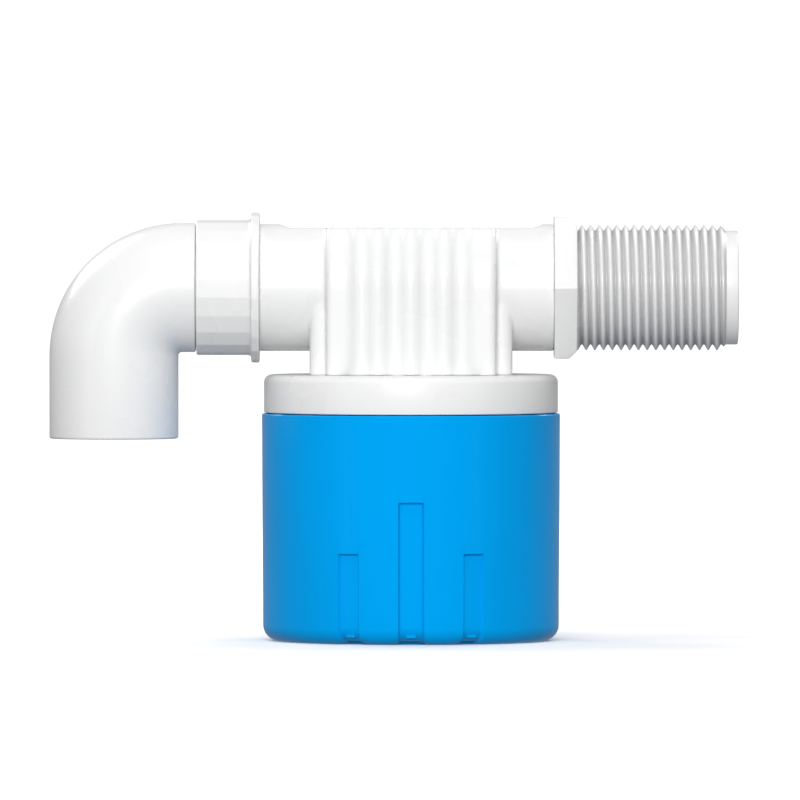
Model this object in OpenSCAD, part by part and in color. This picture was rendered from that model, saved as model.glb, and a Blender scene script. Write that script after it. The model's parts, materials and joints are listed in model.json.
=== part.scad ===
// Side-inlet float valve for a water tank: a piston valve that opens and shuts by the water's own
// pressure, steered by a small pilot jet. A float in a twist-off cup lifts a lever onto that jet.
// Sizes are in millimetres. Every piece is drawn about the point where the pipe's axis (X) crosses
// the cup's axis (Z), and place() then moves it so that the origin is the inlet thread's shoulder.

/* [Inlet] */
// Outside diameter of the inlet's pipe thread
thread_d = 33.249; // [33.0:0.05:33.5]
// Distance from one thread crest to the next
thread_pitch = 2.309; // [2.2:0.01:2.4]
// Number of thread grooves
thread_grooves = 17; // [10:1:17]
// Hexagon size across its flats
hex_af = 37.4; // [37.0:0.1:38.5]
// Hexagon thickness
hex_t = 6; // [5:0.5:7]
// Length of the plain nose in front of the thread
nose_len = 3.55; // [3:0.05:5]

/* [Body] */
// Outside diameter of the pipe
pipe_d = 33.6; // [33.6:0.1:34]
// Bore of the pipe
bore_d = 25; // [23:0.5:25]
// Distance from the cup's axis to the hexagon
inlet_reach = 37.9; // [37:0.5:42]
// Distance from the cup's axis to the outlet collar
outlet_reach = 40.1; // [39:0.5:44]
// Height of the flat top above the pipe's axis
flat_top_z = 15.8; // [15.4:0.1:16.2]
// Width of the ribbed block along the pipe
block_w = 44.8; // [44:0.2:46]
// Radius of the ribbed block's arch
block_r = 21.5; // [21.2:0.1:22]
// Distance from one rib to the next
rib_pitch = 8.72; // [8.4:0.04:8.8]
// Depth of the grooves between the ribs
rib_depth = 1.6; // [1:0.1:1.8]

/* [Lid and cup] */
// Depth of the lid's top below the pipe's axis
lid_top = 23; // [22:0.5:24]
// Outside diameter of the lid
lid_d = 77.9; // [77:0.1:78.5]
// Height of the lid's rim
lid_h = 10.1; // [9.6:0.1:11]
// Outside diameter of the cup at its top
cup_d = 79; // [78.6:0.1:80]
// Depth of the cup's base below the pipe's axis
cup_base = 93.5; // [92.5:0.5:100]
// Thickness of the cup's wall
cup_wall = 2.4; // [2:0.1:2.6]
// Radius of the cup's bottom corner
cup_corner_r = 4.2; // [3:0.2:5]

/* [Outlet] */
// Size of the faceted collar across its corners
collar_d = 35.8; // [35.6:0.1:37]
// Number of flats on the collar
collar_flats = 22; // [18:2:26]
// Size of the collar's flange across its corners
flange_d = 39.8; // [38:0.2:42]
// Outside diameter of the elbow
elbow_d = 34.2; // [34:0.1:35]
// Bore of the elbow
elbow_bore_d = 28.8; // [27:0.1:29.2]
// Radius of the elbow's bend, at the middle of the tube
bend_r = 18; // [17.8:0.1:20]
// Depth of the elbow's open end below the pipe's axis
elbow_drop = 40; // [36:1:60]

/* [Valve chamber] */
// Bore of the chamber that the piston slides in
chamber_d = 32; // [31:0.5:32]
// Bore of the seat that the piston shuts
seat_bore_d = 17; // [15:0.5:17]
// Travel of the piston from shut to open
piston_travel = 5; // [3:0.5:5]

/* [Float and pilot] */
// Outside diameter of the float
float_d = 66; // [64:0.5:66]
// Rise of the float from empty to shut
float_travel = 6; // [5:0.5:6]
// Distance from the lever's pivot to the float's pin
lever_arm = 19; // [18:0.5:20]
// Distance from the cup's axis to the pilot jet
pilot_x = 12; // [11.5:0.5:12.5]

/* [Hidden] */
$fn = 96;

white = [0.94, 0.95, 0.96];
blue = [0.0, 0.42, 0.86];
rubber = [0.09, 0.09, 0.1];
steel = [0.74, 0.75, 0.77];
brass = [0.8, 0.62, 0.28];
float_white = [0.88, 0.89, 0.87];
strainer_grey = [0.3, 0.33, 0.36];

gap = 0.3;          // air between pieces that move past each other
fit = 0.08;         // radial running fit of a sliding or turning piece
cut = 1;            // how far a cutting solid runs past a face

pipe_r = pipe_d / 2;
bore_r = bore_d / 2;
hex_x1 = inlet_reach + hex_t;
shoulder_x = hex_x1;

// Inlet thread: 55 degree V grooves between narrow lands
thread_r = thread_d / 2;
thread_depth = 0.6403 * thread_pitch;
thread_flank = thread_depth * tan(27.5);
thread_land = 0.2;
nose_r = thread_r - thread_depth - 0.05;
thread_x1 = hex_x1 + thread_land + thread_grooves * thread_pitch - 0.3;
nose_x0 = thread_x1 + 0.7;
nose_x1 = thread_x1 + nose_len;
spigot_r = 14.4;
spigot_x0 = inlet_reach - 11.7;
ring_recess_r = 15.7;
ring_recess_t = 1.6;
strainer_r = 13.1;
strainer_t = 1.4;
strainer_len = 24;

// Ribbed block: ribs and grooves are equal arcs that run into each other
wave_r = (pow(rib_pitch / 4, 2) + pow(rib_depth / 2, 2)) / rib_depth;
wave_angle = asin(rib_pitch / 4 / wave_r);
block_corner_r = 1.6;

// Chamber, from its ceiling down to the cover, with the piston drawn shut
ceiling_z = -14.5;
chamber_r = chamber_d / 2;
seat_z = -18;
seat_r = seat_bore_d / 2;
seat_wall = 2;
piston_top_z = -20.6;
piston_z0 = -27;
piston_r = chamber_r - 0.3;
pocket_r = 9.5;
pocket_z = -24;
ring_z0 = -25.6;
ring_t = 2;
ring_floor_r = chamber_r - 1.7;
seal_r = 11.5;
neck_r = 19.6;
neck_z = piston_z0 - piston_travel - 1;
cover_t = 3;
cover_z = neck_z - cover_t;
cover_r = 22;
partition_x = seat_r;
partition_t = 2.5;
spring_r = 8;
spring_wire_r = 0.42;
spring_turns = 4;
spring_sides = 8;
spring_steps = 18;

// Screw posts
post_x = 24;
post_y = 13.6;
post_r = 2.8;
post_top_z = -3.1;
screw_r = 1.5;
screw_tip_z = -9;
pillar_r = 4.2;
screw_head_r = 2.9;
screw_head_t = 2.2;

// Lid
lid_r = lid_d / 2;
lid_plate_t = 3;
lid_z0 = -lid_top - lid_h;
skirt_r = lid_r - 2.05;
lid_edge_r = 2;
ledge_r = skirt_r - 1.2;
ledge_t = 2.7;
ledge_angle = 55;
vent_r = 26.8;
vent_w = 6;
vent_angle = 20;
vent_step = 30;

// Cup
cup_r = cup_d / 2;
cup_taper = 0.3;
cup_z1 = lid_z0 - 0.25;
cup_neck_r = ledge_r - gap;
cup_neck_wall = 1.6;
cup_neck_z = -lid_top - lid_plate_t - 0.6;
lug_r = skirt_r - gap;
lug_t = 1.8;
lug_angle = 30;
turn_angle = 60;
flute_depth = 1;
flute_reach = 7;
drain_r = 2;

// Collar and elbow
collar_x0 = -outlet_reach - 16.7;
flange_x0 = -outlet_reach - 2.2;
outlet_x0 = -outlet_reach - 8.9;
collar_bore_r = 15.6;
tube_r = collar_bore_r - 0.1;
tube_bore_r = 13;
elbow_r = elbow_d / 2;
elbow_bore_r = elbow_bore_d / 2;
elbow_x1 = collar_x0 - 0.2;
bend_x = elbow_x1 - 3.7;
snap_x = -outlet_reach - 14.7;
snap_r = tube_r + 0.55;
elbow_ring_x = -outlet_reach - 11.4;
elbow_ring_r = 0.6;
screw_thread_r = 16;
screw_thread_pitch = 2;
screw_thread_depth = 0.8;

// Pilot lever and float: the lever lies level when the float is up
pivot_x = lever_arm;
pivot_z = -42;
rest_angle = atan(float_travel / lever_arm);
pin_r = 1;
lever_w = 5;
lever_t = 2.6;
eye_r = 2.8;
ear_t = 2;
jet_tip_z = -39;
pad_r = 2.2;
float_r = float_d / 2;
float_z1 = pivot_z - float_travel - 5;
float_z0 = -cup_base + 3;
float_wall = 1.5;
float_pin_z = pivot_z - float_travel;

// ---- Helpers ----

module place() { translate([-shoulder_x, 0, 0]) children(); }

// Cylinder along X from x0 to x1
module xcyl(x0, x1, r) { translate([x0, 0, 0]) rotate([0, 90, 0]) cylinder(h = x1 - x0, r = r); }

// Cylinder along Z from z0 to z1
module zcyl(z0, z1, r) { translate([0, 0, z0]) cylinder(h = z1 - z0, r = r); }

// Cylinder along Y, centred on the XZ plane
module ycyl(x, z, w, r) { translate([x, 0, z]) rotate([90, 0, 0]) cylinder(h = w, r = r, center = true); }

// Box from its lowest to its highest corner
module box(low, high) { translate(low) cube(high - low); }

// Turns a profile of [radius, x] points about the X axis
module about_x() { rotate([0, 90, 0]) rotate_extrude() children(); }

// Ring of rectangular section about Z, over part of a turn
module arc_bar(r0, r1, z0, z1, start, angle) {
    rotate([0, 0, start]) rotate_extrude(angle = angle) translate([r0, z0]) square([r1 - r0, z1 - z0]);
}

// Ring of round section about Z
module o_ring(ring_r, section_r) { rotate_extrude() translate([ring_r, 0]) circle(section_r); }

// One of each at the four screw posts
module at_posts() {
    for (sx = [-1, 1])
        for (sy = [-1, 1])
            translate([sx * post_x, sy * post_y, 0]) children();
}

// Points of an arc, from angle a0 to a1
function arc(cx, cy, r, a0, a1, steps) =
    [for (i = [0:steps]) let (a = a0 + (a1 - a0) * i / steps) [cx + r * cos(a), cy + r * sin(a)]];

// Points of a run of V grooves, as [radius, x]
function v_grooves(crest_r, depth, pitch, flank, x0, count) =
    let (land = pitch / 2 - flank)
    [for (i = [0:count - 1])
        for (p = [[0, 0], [depth, flank], [depth, flank + land], [0, 2 * flank + land]])
            [crest_r - p[0], x0 + i * pitch + p[1]]];

// Points of a regular polygon
function flats(r, count) = [for (i = [0:count - 1]) r * [cos(360 * i / count), sin(360 * i / count)]];

// ---- Body ----

// Front outline of the block, as [x, distance from the pipe's axis]
function block_edge() = concat(
    arc(-block_w / 2 + block_corner_r, block_r - block_corner_r, block_corner_r, 180, 90, 6),
    [for (i = [-2:2])
        each concat(
            i > -2 ? arc(i * rib_pitch, block_r - wave_r, wave_r, 90 + wave_angle, 90, 5) : [],
            i < 2 ? arc(i * rib_pitch, block_r - wave_r, wave_r, 90, 90 - wave_angle, 5) : [],
            i < 2 ? arc((i + 0.5) * rib_pitch, block_r - rib_depth + wave_r, wave_r,
                        270 - wave_angle + 2, 270 + wave_angle - 2, 9) : [])],
    arc(block_w / 2 - block_corner_r, block_r - block_corner_r, block_corner_r, 90, 0, 6)
);

module ribbed_block() {
    edge = block_edge();
    rotate([0, 90, 0]) rotate([0, 0, 90]) rotate_extrude(angle = 180)
        polygon(concat([[0, -block_w / 2]], [for (p = edge) [p[1], p[0]]], [[0, block_w / 2]]));
    translate([0, 0, -lid_top]) linear_extrude(lid_top)
        polygon(concat(edge, [for (i = [len(edge) - 1:-1:0]) [edge[i][0], -edge[i][1]]]));
}

// Male screw that the collar turns onto, grown by a clearance for the collar's own thread
module outlet_screw(clearance) {
    flank = screw_thread_depth * tan(30);
    r = screw_thread_r + clearance;
    about_x() polygon(concat(
        [[0, outlet_x0 - clearance], [r - 0.4, outlet_x0 - clearance], [r, outlet_x0 + 0.4]],
        v_grooves(r, screw_thread_depth, screw_thread_pitch, flank, outlet_x0 + 0.8, 3),
        [[r, -outlet_reach + cut], [0, -outlet_reach + cut]]));
}

// Planes off the pipe's top, with a slope up to the round collar at each end
module top_cutter() {
    slope = 2.1;
    left = -outlet_reach + 5.5;
    right = inlet_reach - 3.1;
    rise = pipe_r - flat_top_z;
    translate([0, 2 * pipe_r, 0]) rotate([90, 0, 0]) linear_extrude(4 * pipe_r) polygon([
        [left, flat_top_z + rise], [left + slope, flat_top_z], [right - slope, flat_top_z],
        [right, flat_top_z + rise], [right, 2 * pipe_r], [left, 2 * pipe_r]]);
}

// Raised arrow that shows the way of the flow, with two plain pads on each side
module flow_marks() {
    mark_h = 0.4;
    sink = 0.2;
    translate([0, 0, flat_top_z - sink]) linear_extrude(mark_h + sink) {
        polygon([[-9, 0], [-3.5, 4], [-3.5, 1.4], [9, 1.4], [9, -1.4], [-3.5, -1.4], [-3.5, -4]]);
        for (side = [-1, 1]) {
            translate([side * 19.4 - 1.4, -4]) square([2.8, 8]);
            translate([side * 15.1 - 1.3, -4]) square([2.6, 8]);
        }
    }
}

module valve_body() {
    color(white) place() {
        difference() {
            union() {
                difference() {
                    union() {
                        xcyl(-outlet_reach, inlet_reach, pipe_r);
                        outlet_screw(0);
                        ribbed_block();
                        zcyl(neck_z, -lid_top + cut, neck_r);
                        at_posts() zcyl(-lid_top, post_top_z, post_r);
                    }
                    top_cutter();
                    zcyl(neck_z - cut, ceiling_z, chamber_r);
                }
                zcyl(seat_z, ceiling_z + cut, seat_r + seat_wall);
            }
            // Outlet side: the seat's bore opens up into the outlet
            zcyl(seat_z - cut, 0, seat_r);
            xcyl(outlet_x0 - cut, partition_x, bore_r);
            // Inlet side: the bore, its counterbore, and the port down into the chamber
            xcyl(partition_x + partition_t, inlet_reach, bore_r);
            xcyl(spigot_x0, inlet_reach + cut, spigot_r);
            xcyl(inlet_reach - ring_recess_t, inlet_reach + cut, ring_recess_r);
            intersection() {
                zcyl(ceiling_z - cut, 0, chamber_r - 0.5);
                box([partition_x + partition_t, -chamber_r, -2 * chamber_r], [2 * chamber_r, chamber_r, 0]);
            }
            at_posts() zcyl(-lid_top - cut, screw_tip_z + 0.5, screw_r);
        }
        flow_marks();
    }
}

// ---- Inlet ----

// Hexagon with the outer edges of its top and bottom flats cut off at 45 degrees
module hexagon() {
    corner_r = hex_af / sqrt(3);
    half = hex_af / 2;
    chamfer = 2.1;
    side = [
        [inlet_reach - cut, half + cut], [hex_x1 - chamfer - cut, half + cut],
        [hex_x1 + cut, half - chamfer - cut]];
    intersection() {
        translate([inlet_reach, 0, 0]) rotate([0, 90, 0]) rotate([0, 0, 90])
            cylinder(h = hex_t, r = corner_r, $fn = 6);
        translate([0, 2 * half, 0]) rotate([90, 0, 0]) linear_extrude(4 * half)
            polygon(concat(side, [for (i = [2:-1:0]) [side[i][0], -side[i][1]]]));
    }
}

module inlet_nipple() {
    edge = 0.4;
    color(white) place() difference() {
        union() {
            hexagon();
            xcyl(spigot_x0 + 0.2, inlet_reach + cut, spigot_r);
            about_x() polygon(concat(
                [[0, hex_x1 - cut], [thread_r, hex_x1 - cut]],
                v_grooves(thread_r, thread_depth, thread_pitch, thread_flank,
                          hex_x1 + thread_land, thread_grooves),
                [[thread_r, thread_x1], [nose_r, nose_x0], [nose_r, nose_x1 - edge],
                 [nose_r - edge, nose_x1], [0, nose_x1]]));
        }
        xcyl(spigot_x0, nose_x1 + cut, bore_r);
        xcyl(nose_x1 - strainer_t - 0.2, nose_x1 + cut, strainer_r + 0.1);
    }
}

module nipple_o_ring() {
    section_r = 0.62;
    color(rubber) place() translate([inlet_reach - ring_recess_t / 2, 0, 0]) rotate([0, 90, 0])
        o_ring((spigot_r + ring_recess_r) / 2, section_r);
}

// Basket with long windows, hung in the nipple's mouth by its rim
module inlet_strainer() {
    wall = 0.9;
    basket_r = bore_r - 0.8;
    end_t = 1.5;
    windows = 12;
    window_w = 3.4;
    margin = 3;
    x1 = nose_x1 - 0.1;
    x0 = x1 - strainer_len;
    color(strainer_grey) place() difference() {
        union() {
            xcyl(x1 - strainer_t, x1, strainer_r);
            xcyl(x0, x1, basket_r);
        }
        xcyl(x0 + end_t, x1 + cut, basket_r - wall);
        for (i = [0:windows - 1])
            rotate([i * 360 / windows, 0, 0])
                box([x0 + margin, -window_w / 2, basket_r / 2], [x1 - margin, window_w / 2, bore_r]);
    }
}

// ---- Outlet ----

module outlet_collar() {
    color(white) place() difference() {
        union() {
            translate([collar_x0, 0, 0]) rotate([0, 90, 0])
                linear_extrude(flange_x0 - collar_x0 + cut) polygon(flats(collar_d / 2, collar_flats));
            translate([flange_x0, 0, 0]) rotate([0, 90, 0])
                linear_extrude(-outlet_reach - flange_x0) polygon(flats(flange_d / 2, collar_flats));
        }
        xcyl(collar_x0 - cut, -outlet_reach + cut, collar_bore_r);
        xcyl(snap_x - 1.2, snap_x + 1.2, snap_r + 0.25);
        outlet_screw(0.1);
    }
}

// Quarter bend of round section, from the level tube down to the leg
module bend(r) {
    translate([bend_x, 0, -bend_r]) rotate([90, 0, 0]) rotate([0, 0, 90])
        rotate_extrude(angle = 90) translate([bend_r, 0]) circle(r);
}

module outlet_elbow() {
    edge = 0.5;
    leg_x = bend_x - bend_r;
    tube_x1 = outlet_x0 - gap;
    color(white) place() difference() {
        union() {
            xcyl(bend_x, elbow_x1, elbow_r);
            bend(elbow_r);
            translate([leg_x, 0, 0]) {
                zcyl(-elbow_drop + edge, -bend_r, elbow_r);
                translate([0, 0, -elbow_drop]) cylinder(h = edge, r1 = elbow_r - edge, r2 = elbow_r);
            }
            xcyl(elbow_x1 - cut, tube_x1, tube_r);
            about_x() polygon([
                [tube_r - 1, snap_x - 0.8], [tube_r, snap_x - 0.8], [snap_r, snap_x - 0.3],
                [snap_r, snap_x + 0.3], [tube_r, snap_x + 0.8], [tube_r - 1, snap_x + 0.8]]);
        }
        xcyl(bend_x, elbow_x1 - 1.5, elbow_bore_r);
        bend(elbow_bore_r);
        translate([leg_x, 0, 0]) zcyl(-elbow_drop - cut, -bend_r, elbow_bore_r);
        xcyl(elbow_x1 - 2, tube_x1 + cut, tube_bore_r);
        difference() {
            xcyl(elbow_ring_x - 0.75, elbow_ring_x + 0.75, tube_r + cut);
            xcyl(elbow_ring_x - cut, elbow_ring_x + cut, tube_r - 2 * elbow_ring_r);
        }
    }
}

module elbow_o_ring() {
    color(rubber) place() translate([elbow_ring_x, 0, 0]) rotate([0, 90, 0])
        o_ring(collar_bore_r - fit - elbow_ring_r, elbow_ring_r);
}

// ---- Lid, chamber cover and cup ----

// Lid with a ledge round its inside that holds the cup's lugs; gaps in it let the lugs in
module lid() {
    plate_z = -lid_top - lid_plate_t;
    ledge_z = lid_z0 + ledge_t;
    edge_arc = arc(lid_r - lid_edge_r, -lid_top - lid_edge_r, lid_edge_r, 90, 0, 8);
    relief = 0.25;
    stop_angle = 4;
    lug_half = lug_angle / 2;
    color(white) place() difference() {
        union() {
            difference() {
                rotate_extrude() polygon(concat(
                    [[neck_r + gap, plate_z], [neck_r + gap, -lid_top]], edge_arc,
                    [[lid_r, lid_z0], [ledge_r, lid_z0], [ledge_r, ledge_z], [skirt_r, ledge_z],
                     [skirt_r, plate_z]]));
                for (turn = [0:120:240])
                    arc_bar(ledge_r - cut, skirt_r + relief, lid_z0 - cut, ledge_z + relief,
                            turn + ledge_angle / 2, 120 - ledge_angle);
            }
            for (turn = [0:120:240])
                for (stop = [-lug_half - stop_angle - 0.5, turn_angle + lug_half + 0.5])
                    arc_bar(ledge_r + relief, skirt_r + 3 * relief, ledge_z - 0.5, plate_z + 0.5,
                            turn + stop, stop_angle);
        }
        at_posts() zcyl(plate_z - cut, -lid_top + cut, screw_r + 0.2);
        for (side = [90, 270])
            for (i = [-1:1])
                arc_bar(vent_r, vent_r + vent_w, plate_z - cut, -lid_top + cut,
                        side + i * vent_step - vent_angle / 2, vent_angle);
    }
}

// Ears that hold the lever's pin, under the cover
module pivot_ears() {
    ear_r = 2.5;
    for (side = [-1, 1])
        translate([0, side * (lever_w / 2 + gap + ear_t / 2), 0]) {
            ycyl(pivot_x, pivot_z, ear_t, ear_r);
            box([pivot_x - ear_r, -ear_t / 2, pivot_z], [pivot_x + ear_r, ear_t / 2, cover_z + 0.5]);
        }
}

module chamber_cover() {
    web_w = 7;
    web_x0 = cover_r - 2.5;
    web_x1 = norm([post_x, post_y]) - 3.5;
    groove_r = (chamber_r + neck_r) / 2;
    spring_seat_r = spring_r - spring_wire_r - 0.4;
    color(white) place() difference() {
        union() {
            zcyl(cover_z, neck_z, cover_r);
            zcyl(neck_z - cut, neck_z + 1.5, spring_seat_r);
            at_posts() zcyl(cover_z, -lid_top - lid_plate_t, pillar_r);
            for (side = [-1, 1])
                for (turn = [0, 180])
                    rotate([0, 0, turn + side * atan(post_y / post_x)])
                        box([web_x0, -web_w / 2, cover_z], [web_x1, web_w / 2, neck_z - 0.2]);
            pivot_ears();
        }
        difference() {
            zcyl(neck_z - 1.2, neck_z + cut, groove_r + 0.75);
            zcyl(neck_z - 2, neck_z + 2 * cut, groove_r - 0.75);
        }
        translate([pilot_x, 0, 0]) {
            zcyl(cover_z - cut, neck_z + cut, 2.5);
            zcyl(neck_z - 1, neck_z + cut, 3.4);
        }
        ycyl(pivot_x, pivot_z, 4 * lever_w, pin_r);
        at_posts() {
            zcyl(cover_z - cut, -lid_top, screw_r + 0.2);
            zcyl(cover_z - cut, cover_z + screw_head_t + 0.2, screw_head_r + 0.2);
        }
    }
}

module cover_o_ring() {
    section_r = 0.6;
    color(rubber) place() translate([0, 0, neck_z - section_r]) o_ring((chamber_r + neck_r) / 2, section_r);
}

module cover_screws() {
    head_z = cover_z + screw_head_t + 0.2;
    slot_w = 0.8;
    slot_deep = 1.2;
    tip = 1.5;
    color(steel) place() at_posts() difference() {
        union() {
            zcyl(head_z - screw_head_t, head_z, screw_head_r);
            zcyl(head_z - 0.5, screw_tip_z - tip, screw_r);
            translate([0, 0, screw_tip_z - tip]) cylinder(h = tip, r1 = screw_r, r2 = 0.4);
        }
        for (turn = [0, 90])
            rotate([0, 0, turn])
                box([-1.8, -slot_w / 2, head_z - screw_head_t - cut],
                    [1.8, slot_w / 2, head_z - screw_head_t + slot_deep]);
    }
}

// Outline of the cup, or of the same cup shrunk all round, as [radius, height] points
function cup_outline(shrink) =
    let (r0 = cup_r - cup_taper - shrink, z0 = -cup_base + shrink, corner = cup_corner_r - shrink / 2)
    concat([[0, z0]], arc(r0 - corner, z0 + corner, corner, -90, 0, 12),
           [[cup_r - shrink, cup_z1], [0, cup_z1]]);

// One groove down the cup's wall and round its bottom corner
module flute(turn, w, top_z) {
    rotate([0, 0, turn]) difference() {
        box([cup_r - flute_reach, -w / 2, -cup_base - cut], [cup_r + cut, w / 2, top_z]);
        rotate_extrude() polygon(cup_outline(flute_depth));
    }
}

module cup() {
    rib_t = 2.4;
    rib_r = float_r + gap + 0.1;
    floor_z = -cup_base + cup_wall;
    inner_r = cup_r - cup_wall;
    flute_turns = [-25, 0, 25];
    color(blue) place() difference() {
        union() {
            difference() {
                union() {
                    rotate_extrude() polygon(cup_outline(0));
                    zcyl(cup_z1 - cut, cup_neck_z, cup_neck_r);
                }
                rotate_extrude() polygon(concat(
                    [[0, floor_z]], arc(inner_r - 0.3 - 2.2, floor_z + 2.2, 2.2, -90, 0, 6),
                    [[inner_r, cup_z1 - 4.2], [cup_neck_r - cup_neck_wall, cup_z1 - 1.6],
                     [cup_neck_r - cup_neck_wall, cup_neck_z + cut], [0, cup_neck_z + cut]]));
            }
            for (side = [-90, 90])
                for (turn = flute_turns)
                    rotate([0, 0, side + turn])
                        box([rib_r, -rib_t / 2, floor_z - 0.5], [inner_r + 0.5, rib_t / 2, -50]);
            for (turn = [0:120:240])
                arc_bar(cup_neck_r - 1, lug_r, lid_z0 + ledge_t + gap, lid_z0 + ledge_t + gap + lug_t,
                        turn - lug_angle / 2, lug_angle);
        }
        for (side = [-90, 90]) {
            flute(side, 6.4, -56.3);
            for (turn = [-25, 25])
                flute(side + turn, 5.6, -69.8);
        }
        translate([20, 0, 0]) zcyl(-cup_base - cut, floor_z + cut, drain_r);
    }
}

// ---- Piston ----

module piston() {
    bleed_x = chamber_r - 3.5;
    bleed_r = 0.6;
    color(white) place() difference() {
        zcyl(piston_z0, piston_top_z, piston_r);
        zcyl(piston_z0 - cut, pocket_z, pocket_r);
        zcyl(pocket_z + 0.6, piston_top_z + cut, screw_r);
        translate([bleed_x, 0, 0]) zcyl(piston_z0 - cut, piston_top_z + cut, bleed_r);
        difference() {
            zcyl(ring_z0, ring_z0 + ring_t, piston_r + cut);
            zcyl(ring_z0 - cut, ring_z0 + ring_t + cut, ring_floor_r);
        }
    }
}

module piston_ring() {
    color(rubber) place() difference() {
        zcyl(ring_z0 + 0.1, ring_z0 + ring_t - 0.1, chamber_r - fit);
        zcyl(ring_z0 - cut, ring_z0 + ring_t + cut, ring_floor_r);
    }
}

module seat_seal() {
    color(rubber) place() difference() {
        zcyl(piston_top_z, seat_z - 0.05, seal_r);
        zcyl(piston_top_z - cut, seat_z + cut, screw_r + 0.3);
    }
}

module seal_washer() {
    color(steel) place() difference() {
        zcyl(seat_z - 0.05, seat_z + 1.1, 6);
        zcyl(seat_z - cut, seat_z + 2, screw_r + 0.1);
    }
}

module seal_screw() {
    head_z = seat_z + 1.1;
    color(steel) place() difference() {
        union() {
            zcyl(head_z, head_z + 1.8, 3);
            zcyl(pocket_z + 0.8, head_z + 0.5, screw_r);
        }
        box([-2, -0.4, head_z + 0.9], [2, 0.4, head_z + 3]);
    }
}

// Coil spring as a tube swept along a helix
module coil(r, wire_r, z0, z1, turns) {
    rings = turns * spring_steps;
    rise = (z1 - z0 - 2 * wire_r) / rings;
    points = [
        for (i = [0:rings])
            for (j = [0:spring_sides - 1])
                let (a = 360 * i / spring_steps, b = 360 * j / spring_sides)
                [(r + wire_r * cos(b)) * cos(a), (r + wire_r * cos(b)) * sin(a),
                 z0 + wire_r + i * rise + wire_r * sin(b)]];
    sides = [
        for (i = [0:rings - 1])
            for (j = [0:spring_sides - 1])
                let (k = (j + 1) % spring_sides, n = spring_sides)
                [i * n + j, (i + 1) * n + j, (i + 1) * n + k, i * n + k]];
    polyhedron(points, concat(
        sides,
        [[for (j = [0:spring_sides - 1]) j]],
        [[for (j = [spring_sides - 1:-1:0]) rings * spring_sides + j]]));
}

module piston_spring() {
    color(steel) place() coil(spring_r, spring_wire_r, neck_z + 0.05, pocket_z - 0.05, spring_turns);
}

// ---- Pilot and float ----

module pilot_nozzle() {
    jet_r = 0.8;
    color(brass) place() translate([pilot_x, 0, 0]) difference() {
        union() {
            zcyl(neck_z - 1, neck_z, 3.4);
            zcyl(cover_z - 0.5, neck_z - 0.5, 2.5);
            translate([0, 0, jet_tip_z]) cylinder(h = cover_z - 0.5 - jet_tip_z, r1 = 1.5, r2 = 2.5);
        }
        zcyl(jet_tip_z - cut, neck_z + cut, jet_r);
    }
}

// Draws the lever in its level place and drops it to where the empty float holds it
module lever_at_rest() {
    translate([pivot_x, 0, pivot_z]) rotate([0, -rest_angle, 0]) translate([-pivot_x, 0, -pivot_z])
        children();
}

module pilot_lever() {
    slot_r = pin_r + 0.15;
    slot_x0 = -(lever_arm / cos(rest_angle) - lever_arm) - 0.2;
    slot_x1 = 0.2;
    eye_x0 = slot_x0 - slot_r - 1.1;
    eye_x1 = slot_x1 + slot_r + 1.1;
    color(white) place() lever_at_rest() difference() {
        union() {
            box([eye_x1 - cut, -lever_w / 2, pivot_z - lever_t / 2],
                [pivot_x, lever_w / 2, pivot_z + lever_t / 2]);
            box([eye_x0, -lever_w / 2, pivot_z - eye_r], [eye_x1, lever_w / 2, pivot_z + eye_r]);
            ycyl(pivot_x, pivot_z, lever_w, 2.2);
            translate([pilot_x, 0, 0]) zcyl(pivot_z, pivot_z + 2, pad_r + 0.9);
        }
        box([slot_x0, -lever_w, pivot_z - slot_r], [slot_x1, lever_w, pivot_z + slot_r]);
        ycyl(slot_x0, pivot_z, 2 * lever_w, slot_r);
        ycyl(slot_x1, pivot_z, 2 * lever_w, slot_r);
        ycyl(pivot_x, pivot_z, 2 * lever_w, pin_r + fit);
        translate([pilot_x, 0, 0]) zcyl(pivot_z, pivot_z + 2 + cut, pad_r);
    }
}

module pilot_pad() {
    color(rubber) place() lever_at_rest() translate([pilot_x, 0, 0])
        zcyl(pivot_z, jet_tip_z - 0.05, pad_r);
}

module lever_pin() {
    color(steel) place() ycyl(pivot_x, pivot_z, lever_w + 2 * (gap + ear_t) + 0.6, pin_r);
}

module float_shell() {
    corner = 3;
    joint_z = float_z1 - float_wall;
    color(float_white) place() difference() {
        rotate_extrude() polygon(concat(
            [[0, float_z0]], arc(float_r - corner, float_z0 + corner, corner, -90, 0, 8),
            [[float_r, joint_z], [0, joint_z]]));
        rotate_extrude() polygon(concat(
            [[0, float_z0 + float_wall]],
            arc(float_r - corner, float_z0 + corner, corner - float_wall, -90, 0, 8),
            [[float_r - float_wall, joint_z + cut], [0, joint_z + cut]]));
    }
}

module float_cap() {
    ear_r = 2.5;
    ear_y = lever_w / 2 + 0.5;
    lip_r = float_r - float_wall;
    color(float_white) place() difference() {
        union() {
            zcyl(float_z1 - float_wall, float_z1, float_r);
            difference() {
                zcyl(float_z1 - float_wall - 2, float_z1 - float_wall + 0.1, lip_r);
                zcyl(float_z1 - float_wall - 3, float_z1, lip_r - 1.5);
            }
            for (side = [-1, 1])
                translate([0, side * (ear_y + ear_t / 2), 0]) {
                    ycyl(0, float_pin_z, ear_t, ear_r);
                    box([-ear_r, -ear_t / 2, float_z1 - 0.5], [ear_r, ear_t / 2, float_pin_z]);
                }
        }
        ycyl(0, float_pin_z, 4 * lever_w, pin_r);
    }
}

module float_pin() {
    color(steel) place() ycyl(0, float_pin_z, lever_w + 1 + 2 * ear_t + 0.6, pin_r);
}

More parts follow.
